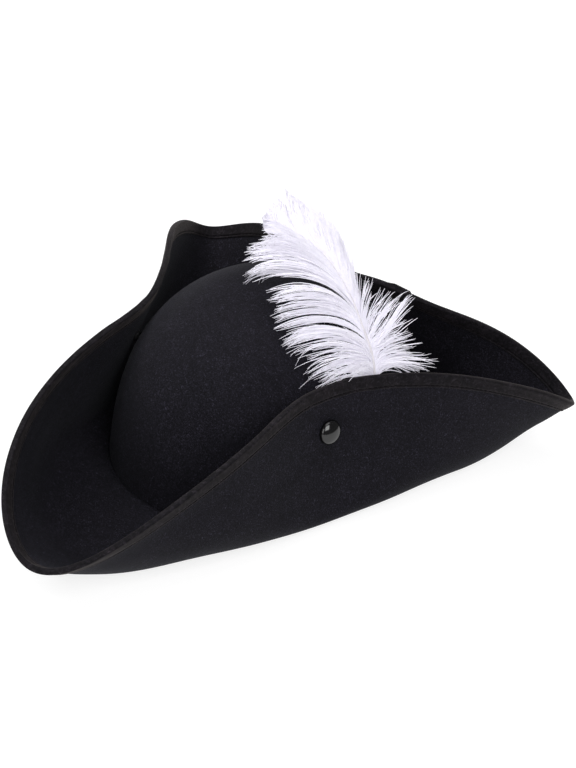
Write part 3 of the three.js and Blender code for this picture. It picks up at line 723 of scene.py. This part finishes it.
def make_tape_lap(tape):
    """The tape's free end, folded under and lapped over its start, left of the middle of the back."""
    azimuth = np.linspace(LAP_FROM, LAP_TO, 40)
    outline = binding_outside()
    share = (azimuth - LAP_FROM) / (LAP_TO - LAP_FROM)
    # The lap is thick at its folded end and thins out over its start.
    lift = (LAP_LIFT * np.clip((1 - share) * 3, 0, 1) * np.clip(share * 14 + 0.35, 0, 1))[:, None]
    sign = np.sign(outline[:, 1]) * np.clip(np.abs(outline[:, 1]) / (FELT / 2), 0, 1)
    out = BRIM["width"](azimuth)[:, None] + outline[None, :, 0] + lift * (outline[None, :, 0] > 0)
    top = beside_brim(azimuth[:, None], out, outline[None, :, 1] + sign * (lift + 0.05 * MM))
    under = beside_brim(azimuth[:, None], out - 0.1 * MM, outline[None, :, 1] - sign * 0.2 * MM)
    rings = np.concatenate([top, under[:, ::-1]], 1)
    columns = rings.shape[1]
    faces = grid_faces(len(azimuth), columns)
    j = np.arange(columns // 2 - 1)
    end_faces = []
    for row, flip in ((0, False), (len(azimuth) - 1, True)):
        base = row * columns
        quad = np.stack([base + j, base + columns - 1 - j, base + columns - 2 - j, base + j + 1], -1)
        end_faces.append(quad[:, ::-1] if flip else quad)
    uv = np.stack(np.broadcast_arrays(azimuth[:, None] * 1.6 * MM, np.arange(columns)[None, :] * MM), -1)
    lap = add_mesh("tape_lap", seated(rings).reshape(-1, 3), [faces, *end_faces], uv.reshape(-1, 2))
    dress(lap, tape, "tape")


# Press studs
def stud_axes(azimuth):
    """A cap's place and way on the flap, its seat and way on the crown, and the point between them."""
    out = float(BRIM["width"](azimuth)) - CAP_BELOW_EDGE
    flap_way = -brim_normal(np.array([azimuth]), np.array([out]))[0]
    inside = beside_brim(azimuth, out, FELT / 2)
    climbs = np.linspace(0, 1, 2001)[:-1]
    dome = dome_point(azimuth, climbs)
    seat = dome[np.linalg.norm(dome - inside, axis=1).argmin()]
    seat_way = dome_normal(seat[None])[0]
    cap = beside_brim(azimuth, out, -FELT / 2)
    turn = 2 * np.pi * np.arange(24) / 24
    aside = np.degrees(CAP_RADIUS * np.cos(turn) / np.hypot(cap[0], cap[1]))
    rim = beside_brim(azimuth + aside, out + CAP_RADIUS * np.sin(turn), -FELT / 2)
    dish = max(0, float(((rim - cap) @ flap_way).max()))
    return cap + flap_way * (dish + STUD_GAP), flap_way, seat, seat_way, (inside + seat) / 2


def make_stud(side, azimuth, enamel, metal):
    cap, flap_way, seat, seat_way, middle = stud_axes(azimuth)
    dome = [(0, -CAP_BACK), (CAP_RADIUS - CAP_FLAT, -CAP_BACK), (CAP_RADIUS - CAP_ROLL, CAP_BACK),
            (CAP_RADIUS, CAP_ROLL)]
    for turn in np.linspace(0, np.pi / 2, CAP_RINGS):
        dome.append((CAP_RADIUS * math.cos(turn), CAP_EDGE + CAP_DOME * math.sin(turn)))

    def plate(radius, thick, top, at, way):
        return turned([(0, top - thick), (radius, top - thick), (radius, top), (0, top)], at, way, sides=32)

    def post(start, end):
        way = end - start
        length = np.linalg.norm(way)
        profile = [(0, 0), (POST_RADIUS, 0), (POST_RADIUS, length), (0, length)]
        return turned(profile, start, way / length, sides=24)

    behind = seat - seat_way * (FELT + WASHER_DEPTH + WASHER_THICK / 2)
    posts = [post(middle, cap - flap_way * CAP_BACK), post(behind, middle),
             plate(SOCKET_RADIUS, SOCKET_THICK, SOCKET_THICK / 2, middle, unit(flap_way + seat_way)),
             plate(WASHER_RADIUS, WASHER_THICK, -FELT - WASHER_DEPTH, seat, seat_way)]
    caps = [turned(dome, cap, flap_way, sides=72)]
    for name, parts, material in (("snap_cap_", caps, enamel), ("snap_post_", posts, metal)):
        points, faces = joined(parts)
        piece = add_mesh(name + side, seated(points), faces)
        bevel = piece.modifiers.new("edges", "BEVEL")
        bevel.width = STUD_BEVEL
        bevel.segments = 2
        bevel.limit_method = "ANGLE"
        bevel.angle_limit = math.radians(50)
        dress(piece, material, "studs", *(["stud_" + side] if material is enamel else []))


# Plume
def through(points, t):
    """A smooth curve through points (n, 3), at t from 0 to 1 of its length."""
    points = np.asarray(points, float)
    ends = np.concatenate([[2 * points[0] - points[1]], points, [2 * points[-1] - points[-2]]])
    dense = []
    for i in range(len(points) - 1):
        a, b, c, d = ends[i:i + 4]
        u = np.linspace(0, 1, 40, endpoint=i == len(points) - 2)[:, None]
        dense.append(0.5 * (2 * b + (c - a) * u + (2 * a - 5 * b + 4 * c - d) * u * u
                            + (3 * b - a - 3 * c + d) * u ** 3))
    dense = np.concatenate(dense)
    along = running_length(dense)
    return np.stack([np.interp(np.asarray(t) * along[-1], along, dense[:, k]) for k in range(3)], -1)


def shaft_points():
    """The shaft above the brim's edge: it leans on the flap's binding there, and curves in over the crown."""
    edge = brim_point(PLUME_AZIMUTH, BRIM["width"](PLUME_AZIMUTH))
    way = outward(PLUME_AZIMUTH)
    lean = math.radians(float(BRIM["lean"](PLUME_AZIMUTH)) - 90)
    start = edge @ way - (FELT / 2 + GAP + TAPE + SHAFT_GAP + SHAFT_RADIUS) / math.cos(lean)
    points = []
    for inward, rise in SHAFT_POINTS:
        point = way * (start - inward * PLUME_REACH)
        point[2] = edge[2] + rise * PLUME_RISE
        points.append(point)
    return np.array(points)


SHAFT = shaft_points()
SHAFT_LENGTH = float(running_length(SHAFT)[-1])
BACKWARD = outward(PLUME_AZIMUTH + 90)


def shaft_at(t):
    """Points, tangents and upward normals of the shaft above the brim's edge."""
    t = np.asarray(t, float)
    point = through(SHAFT, np.clip(t, 0, 1))
    point[..., 2] += SHAFT_LENGTH * np.minimum(t, 0)
    tangent = unit(through(SHAFT, np.clip(t + 0.01, 0.01, 1)) - through(SHAFT, np.clip(t - 0.01, 0, 0.99)))
    lift = unit(np.cross(tangent, np.broadcast_to(BACKWARD, tangent.shape)))
    return point, tangent, np.where(lift[..., 2:] < 0, -lift, lift)


def make_shaft(quill):
    t = np.linspace(0, 1, 90)
    above = through(SHAFT, t)
    way = outward(PLUME_AZIMUTH)
    lower = []
    for height in (FELT / 2 + GAP + SHAFT_RADIUS, *(CROWN_HEIGHT * share for share in TUCKED_HEIGHTS)):
        shrink = (1 - (height / CROWN_HEIGHT) ** CROWN_SQUARENESS) ** (1 / CROWN_SQUARENESS)
        point = way * (float(seam_radius(PLUME_AZIMUTH)) * shrink + SHAFT_GAP + SHAFT_RADIUS)
        point[2] = height
        lower.append(point)
    lower.append(SHAFT[0] - np.array([0, 0, 2 * BINDING_WIDTH]))
    lower.append(SHAFT[0])
    below = through(np.array(lower), np.linspace(0, 1, 50))
    path = np.concatenate([below[:-1], above])
    taper = SHAFT_TIP_RADIUS + (SHAFT_RADIUS - SHAFT_TIP_RADIUS) * (1 - t) ** 0.8
    radii = np.concatenate([np.full(len(below) - 1, SHAFT_RADIUS), taper])
    across = np.broadcast_to(BACKWARD, (1, *path.shape))
    shaft = add_mesh("plume_quill", *tubes(seated(path)[None], radii[None], 14, across, flat=0.8))
    dress(shaft, quill, "feather", "plume_shaft")


# Locks of barbs down each side of the plume: the place of a lock's root along the shaft, from 0 at the brim's
# edge to 1 at the tip; how far across, back and up its point lies from there, in mm; how far it follows the
# shaft before it bends over; how far its point droops; and how closely its barbs fill it
# Columns: place, across, back, up, follow, droop, fill
FRONT_LOCKS = np.array([
    (-0.06, -19.3, -38.4, 2.2, 0.86, 0.73, 1.1),
    (-0.03, -18.7, -38.4, 2.2, 1.6, 0.92, 1.1),
    (0.005, -22.9, -41.4, 3.4, 2.9, 0.54, 1.1),
    (0.02, -25.2, -41.9, 1.6, 1.6, 0.21, 1.1),
    (0.041, -22.9, -42.6, 4.7, 0.79, 1.6, 1.1),
    (0.06, -31.6, -45.3, 2.3, 1.2, 0.73, 1.1),
    (0.076, -25.3, -50.9, 11.8, 0.7, 1.4, 1.1),
    (0.101, -36.1, -45.4, 0.2, 0.97, 1.2, 0.9),
    (0.125, -37.2, -45.2, 4.5, 0.83, 1, 1),
    (0.151, -38.3, -43.4, 6.0, 0.68, 0.9, 1),
    (0.174, -42.9, -40.9, 7.2, 1.5, 0.63, 1),
    (0.201, -44.8, -36.6, 4.6, 3.3, 0.99, 1),
    (0.217, -44.6, -40.8, 13.1, 2.3, 0.81, 1),
    (0.253, -42.2, -45.1, 18.7, 4.2, 0.6, 1),
    (0.275, -39.3, -45.7, 20.3, 4.2, 1, 1.2),
    (0.286, -48.9, -40.1, 23.8, 3.5, 0.87, 0.3),
    (0.324, -73.8, -18.2, -3.4, 4.4, 2.5, 1.2),
    (0.35, -55.0, -43.1, 17.7, 6, 1.5, 1.2),
    (0.376, -61.7, -35.4, 17.2, 5.4, 0.95, 1.1),
    (0.416, -59.7, -30.7, 16.6, 4.1, 0.83, 1.1),
    (0.469, -54.7, -29.3, 15.9, 4.2, 0.72, 1),
    (0.53, -44.2, -25.4, 16.2, 1.1, 0.71, 1),
    (0.61, -34.5, -22.8, 15.2, 0.1, 0.61, 1),
    (0.7, -25.8, -20, 11.5, 1.4, 0.45, 1),
    (0.79, -17.9, -17, 9.3, 1.4, 0.45, 1),
    (0.88, -10.1, -13, 10.0, 1.3, 0.45, 1),
    (0.95, -5.0, -9, 13.8, 1, 0.3, 1),
    (1, -1.2, -5, 18.1, 0.8, 0.1, 1),
])
BACK_LOCKS = np.array([
    (-0.052, 12.7, 40.5, -5.6, 1.9, 0.46, 1.45),
    (-0.032, 16.2, 40.1, -5.0, 1.5, 0.6, 1.45),
    (-0.012, 20.4, 40.1, 2.3, 2, 0.11, 1.45),
    (0.016, 13.2, 43.5, -3.1, 1.6, -0.05, 1.45),
    (0.034, 4.7, 42.3, -0.6, 1.5, 0.04, 1.45),
    (0.048, 5.9, 36.6, 5.4, 1.6, 0.25, 1.15),
    (0.074, 5.9, 34.5, 6.9, 2.4, -0.03, 1.15),
    (0.093, 4.0, 32.8, 7.8, 2.8, -0.03, 1.15),
    (0.103, 1.7, 36.2, 11.1, 1.6, -0.53, 1.15),
    (0.145, 4.5, 37.2, 22.5, -0.05, 0.62, 1.15),
    (0.184, 1.5, 34.9, 20.4, 0.5, 0.6, 1.15),
    (0.193, -10.1, 37.5, 15.2, 0.75, -0.81, 1.15),
    (0.203, -13.8, 33.4, 16.5, 1.5, -0.45, 1.15),
    (0.213, -15.9, 30.2, 16.7, 1.4, -0.12, 1.15),
    (0.241, -20.2, 32.0, 12.0, 2.2, 0.69, 1.45),
    (0.256, -23.7, 27.9, 21.6, 2, -0.25, 1),
    (0.268, -24.7, 24, 17.6, 1.1, 0.3, 1.1),
    (0.285, -29.0, 23, 21.8, 1.2, 0.3, 1.3),
    (0.31, -30.2, 23, 25.3, 1.3, 0.3, 1.4),
    (0.34, -32.5, 24, 28.0, 1.4, 0.3, 1.4),
    (0.38, -36.1, 25, 29.3, 1.5, 0.3, 1.4),
    (0.43, -39.2, 26, 29.3, 1.5, 0.3, 1.4),
    (0.48, -42.9, 27, 25.8, 1.5, 0.3, 1.3),
    (0.54, -45.6, 28, 20.2, 1.5, 0.3, 1.3),
    (0.6, -46.6, 28, 15.2, 1.5, 0.3, 1.3),
    (0.67, -43.2, 27, 12.2, 1.4, 0.3, 1.3),
    (0.75, -36.4, 25, 10.3, 1.3, 0.3, 1.3),
    (0.83, -28.2, 21, 4.9, 1.2, 0.3, 1.2),
    (0.9, -20.9, 17, 4.0, 1.1, 0.3, 1.2),
    (0.96, -13.9, 12, 6.7, 1, 0.3, 1),
    (1, -8.0, 7, 10.2, 1, 0.3, 1),
])


def kept_clear(points):
    """Barbs rest on the crown and against the inside of the turned-up brim, and don't run through them."""
    level = np.hypot(points[..., 0] / (CROWN_WIDTH / 2), points[..., 1] / (CROWN_LENGTH / 2))
    level = level ** CROWN_SQUARENESS + (np.abs(points[..., 2]) / CROWN_HEIGHT) ** CROWN_SQUARENESS
    swell = level ** (-1 / CROWN_SQUARENESS) + CROWN_CLEAR / np.linalg.norm(points, axis=-1)
    points = points * np.maximum(1, swell)[..., None]
    azimuth = np.degrees(np.arctan2(points[..., 0], -points[..., 1]))
    edge = brim_point(azimuth, BRIM["width"](azimuth))
    inside = np.hypot(edge[..., 0], edge[..., 1]) - (FELT / 2 + GAP + TAPE + BRIM_CLEAR)
    radius = np.hypot(points[..., 0], points[..., 1])
    low = points[..., 2] < edge[..., 2] + CLEAR_ABOVE
    points[..., :2] *= np.where(low, np.minimum(1, inside / radius), 1)[..., None]
    return points


def barb_paths(locks, ragged_below, seed):
    """Barbs of one side, gathered into pointed locks: their paths, (BARBS, BARB_STEPS, 3), and their places.

    Locks below the place ragged_below are ragged, and their barbs cross.
    """
    random = np.random.default_rng(seed)
    places, chords, fills = locks[:, 0], locks[:, 1:4] * MM, locks[:, 6]
    follows, droops = locks[:, 4:5], locks[:, 5:6]
    edges = np.concatenate([places[:1], (places[1:] + places[:-1]) / 2, [0.998]])
    total = np.concatenate([[0], np.cumsum(np.diff(edges) * fills)])
    place = np.interp(total[-1] * (np.arange(BARBS) + random.uniform(0, 1, BARBS)) / BARBS, total, edges)
    lock = np.clip(np.searchsorted(edges, place) - 1, 0, len(locks) - 1)
    tip = random.integers(0, LOCK_TIPS, BARBS)
    tip_way = random.normal(0, TIP_STRAY, (len(locks), LOCK_TIPS, 3))
    tip_length = random.normal(*TIP_LENGTH, (len(locks), LOCK_TIPS))
    tip_way[:, 0], tip_length[:, 0] = 0, 1
    ragged = places[lock] < ragged_below
    loose = random.uniform(0, 1, BARBS) < np.where(ragged, *LOOSE_SHARE)
    loose_gather = random.uniform(0, LOOSE_GATHER, BARBS)
    gather = np.where(loose, loose_gather, random.uniform(np.where(ragged, *LEAST_GATHER), 1.0, BARBS))
    stray = np.where(loose, np.where(ragged, *LOOSE_STRAY), BARB_STRAY)
    own_way = random.normal(0, 1, (BARBS, 3)) * stray[:, None]
    own_length = np.minimum(random.normal(*BARB_LENGTH, BARBS), LONGEST_BARB)
    # Each barb stops at its own place along its lock, so that a lock ends in a point.
    stop = 1 - np.abs(random.normal(0, 1, BARBS)) * np.where(ragged, *BARB_STOP)
    stop = np.maximum(np.where(loose, stop * LOOSE_STOP, stop), SHORTEST_BARB)
    s = np.linspace(0, 1, BARB_STEPS)[None, :, None] * stop[:, None, None]

    def path(at, way, length):
        root, tangent, up = shaft_at(at)
        size = np.linalg.norm(chords[lock], axis=-1, keepdims=True)
        chord = unit(chords[lock] / size + way) * size * length[:, None]
        leaving = unit(follows[lock] * tangent + 0.9 * chord / size + 0.3 * up)
        arriving = unit(chord / size - droops[lock] * np.array([0, 0, 1]))
        first = (root + 0.42 * size * leaving)[:, None]
        last = (root + chord - 0.32 * size * arriving)[:, None]
        start, end = root[:, None], (root + chord)[:, None]
        middle = first * s * (1 - s) ** 2 + last * s * s * (1 - s)
        return start * (1 - s) ** 3 + 3 * middle + end * s ** 3

    own = path(place, own_way, own_length)
    shared = path(places[lock], tip_way[lock, tip], tip_length[lock, tip])
    pull = gather[:, None, None] * s ** 2.7
    wave = random.normal(0, 1, (BARBS, 1, 3)) * np.sin(s * random.uniform(3, 8, (BARBS, 1, 1))) * s
    return kept_clear(own * (1 - pull) + shared * pull + wave * BARB_WAVE), place


def barbules(paths, seed):
    """Fine hairs along barbs, as thin closed spikes in one mesh."""
    random = np.random.default_rng(seed)
    n, steps, _ = paths.shape
    length = np.linalg.norm(np.diff(paths, axis=1), axis=2).sum(1)
    each = np.maximum((length / HAIR_PITCH).astype(int), 2)
    barb = np.repeat(np.arange(n), each)
    s = np.concatenate([(np.arange(k) + random.uniform(0, 1, k)) / k for k in each]) * 0.96 + 0.01
    at = s * (steps - 1)
    i = np.minimum(at.astype(int), steps - 2)
    f = (at - i)[:, None]
    root = paths[barb, i] * (1 - f) + paths[barb, i + 1] * f
    along = unit(paths[barb, i + 1] - paths[barb, i])
    across = unit(np.cross(along, random.normal(0, 1, root.shape)))
    way = unit(across + along * random.uniform(0.9, 2.2, (len(root), 1)))
    size = HAIR_REACH * (1 - 0.8 * s)[:, None] * random.uniform(0.55, 1.2, (len(root), 1))
    tip = root + way * size + np.array([0, 0, -0.1]) * size
    foot, other = across * HAIR_THICK, np.cross(along, across) * HAIR_THICK
    points = np.stack([root + foot, root + other, root - (foot + other) * 0.7, tip], 1)
    spike = np.array([[0, 2, 1], [0, 1, 3], [1, 2, 3], [2, 0, 3]])
    return points.reshape(-1, 3), [(spike + 4 * np.arange(len(root))[:, None, None]).reshape(-1, 3)]


def make_plume(feather):
    # The plume's solid stands for both sides, so the front barbs replace it.
    sides = (("front", FRONT_LOCKS, RAGGED_FRONT, ["plume"]), ("back", BACK_LOCKS, RAGGED_BACK, []))
    for name, locks, ragged_below, replaced in sides:
        paths, place = barb_paths(locks, ragged_below, BARB_SEEDS[name])
        taper = 1 - 0.7 * np.linspace(0, 1, BARB_STEPS) ** 2.2
        radii = np.broadcast_to(BARB_RADIUS * taper, (BARBS, BARB_STEPS))
        up = shaft_at(place)[2]
        across = np.broadcast_to(up[:, None], paths.shape)
        barbs = add_mesh("plume_" + name + "_barbs",
                         *tubes(seated(paths), radii, BARB_SIDES, across, BARB_FLATNESS))
        dress(barbs, feather, "feather", *replaced)
        hairs = add_mesh("plume_" + name + "_down", *barbules(seated(paths), HAIR_SEEDS[name]), smooth=False)
        dress(hairs, feather, "feather")


# Stage, light and camera
def make_floor():
    corners = np.array([(-1, -1, 0), (1, -1, 0), (1, 1, 0), (-1, 1, 0)]) * FLOOR_HALF
    floor = add_mesh("floor", corners, np.array([[0, 1, 2, 3]]), smooth=False)
    material, nodes, links, shader, place = new_material("floor")
    cloud = noise(nodes, links, place, 2, 2)
    links.new(ramp(nodes, links, cloud, ((0.3, (0.295, 0.295, 0.297)), (0.7, (0.305, 0.305, 0.305)))),
              shader.inputs["Base Color"])
    set_inputs(shader, {"Roughness": 0.9, "Specular IOR Level": 0.1, "Emission Color": (1, 1, 1, 1),
                        "Emission Strength": FLOOR_GLOW})
    floor.data.materials.append(material)


def add_light(name, at, towards, size, power):
    data = bpy.data.lights.new(name, "AREA")
    data.shape = "RECTANGLE"
    data.size = size
    data.size_y = size
    data.energy = power
    light = bpy.data.objects.new(name, data)
    bpy.context.scene.collection.objects.link(light)
    turn = Vector(towards - at).to_track_quat("-Z", "Y").to_matrix().to_4x4()
    light.matrix_world = Matrix.Translation(Vector(at)) @ turn


def make_lights():
    world = bpy.data.worlds.new("studio")
    world.use_nodes = True
    background = world.node_tree.nodes["Background"]
    set_inputs(background, {"Color": (1, 1, 1, 1), "Strength": WORLD_LIGHT})
    bpy.context.scene.world = world
    for name, azimuth, elevation, size, power in LAMPS:
        a, e = math.radians(azimuth), math.radians(elevation)
        way = np.array([math.sin(a) * math.cos(e), -math.cos(a) * math.cos(e), math.sin(e)])
        add_light(name, LIT_MIDDLE + LAMP_DISTANCE * way, LIT_MIDDLE, size, power)


def make_camera():
    """The photograph's camera, carried from the hat's own frame into the row's."""
    a, e, roll = (math.radians(angle) for angle in (CAMERA_AZIMUTH, CAMERA_ELEVATION, CAMERA_ROLL))
    right = np.array([math.cos(a), math.sin(a), 0])
    back = np.array([math.sin(a) * math.cos(e), -math.cos(a) * math.cos(e), math.sin(e)])
    up = np.cross(back, right)
    axes = [right * math.cos(roll) + up * math.sin(roll), up * math.cos(roll) - right * math.sin(roll), back]
    matrix = np.eye(4)
    matrix[:3, :3] = TILT @ np.array(axes).T
    matrix[:3, 3] = seated(CAMERA_AT)
    data = bpy.data.cameras.new("camera")
    data.sensor_width = 36
    data.lens = CAMERA_LENS
    data.clip_end = 50
    camera = bpy.data.objects.new("camera", data)
    bpy.context.scene.collection.objects.link(camera)
    camera.matrix_world = Matrix(matrix.tolist())
    bpy.context.scene.camera = camera


bpy.context.scene.view_settings.view_transform = "Standard"
make_camera()
make_lights()
make_floor()
felt = felt_material()
tape = tape_material()
make_crown(felt)
make_brim(felt)
make_binding(tape)
make_tape_lap(tape)
make_stitches(thread_material())
enamel = cap_material()
metal = metal_material()
for side, azimuth in STUD_AZIMUTHS.items():
    make_stud(side, azimuth, enamel, metal)
make_shaft(feather_material("quill", (0.66, 0.63, 0.66), (0.74, 0.71, 0.74), 0.55))
# The plume's barbs get a painted glow: emitted light that stands in for light passing through them.
make_plume(feather_material("feather", (0.75, 0.73, 0.81), (0.86, 0.84, 0.92), painted_glow=0.13))
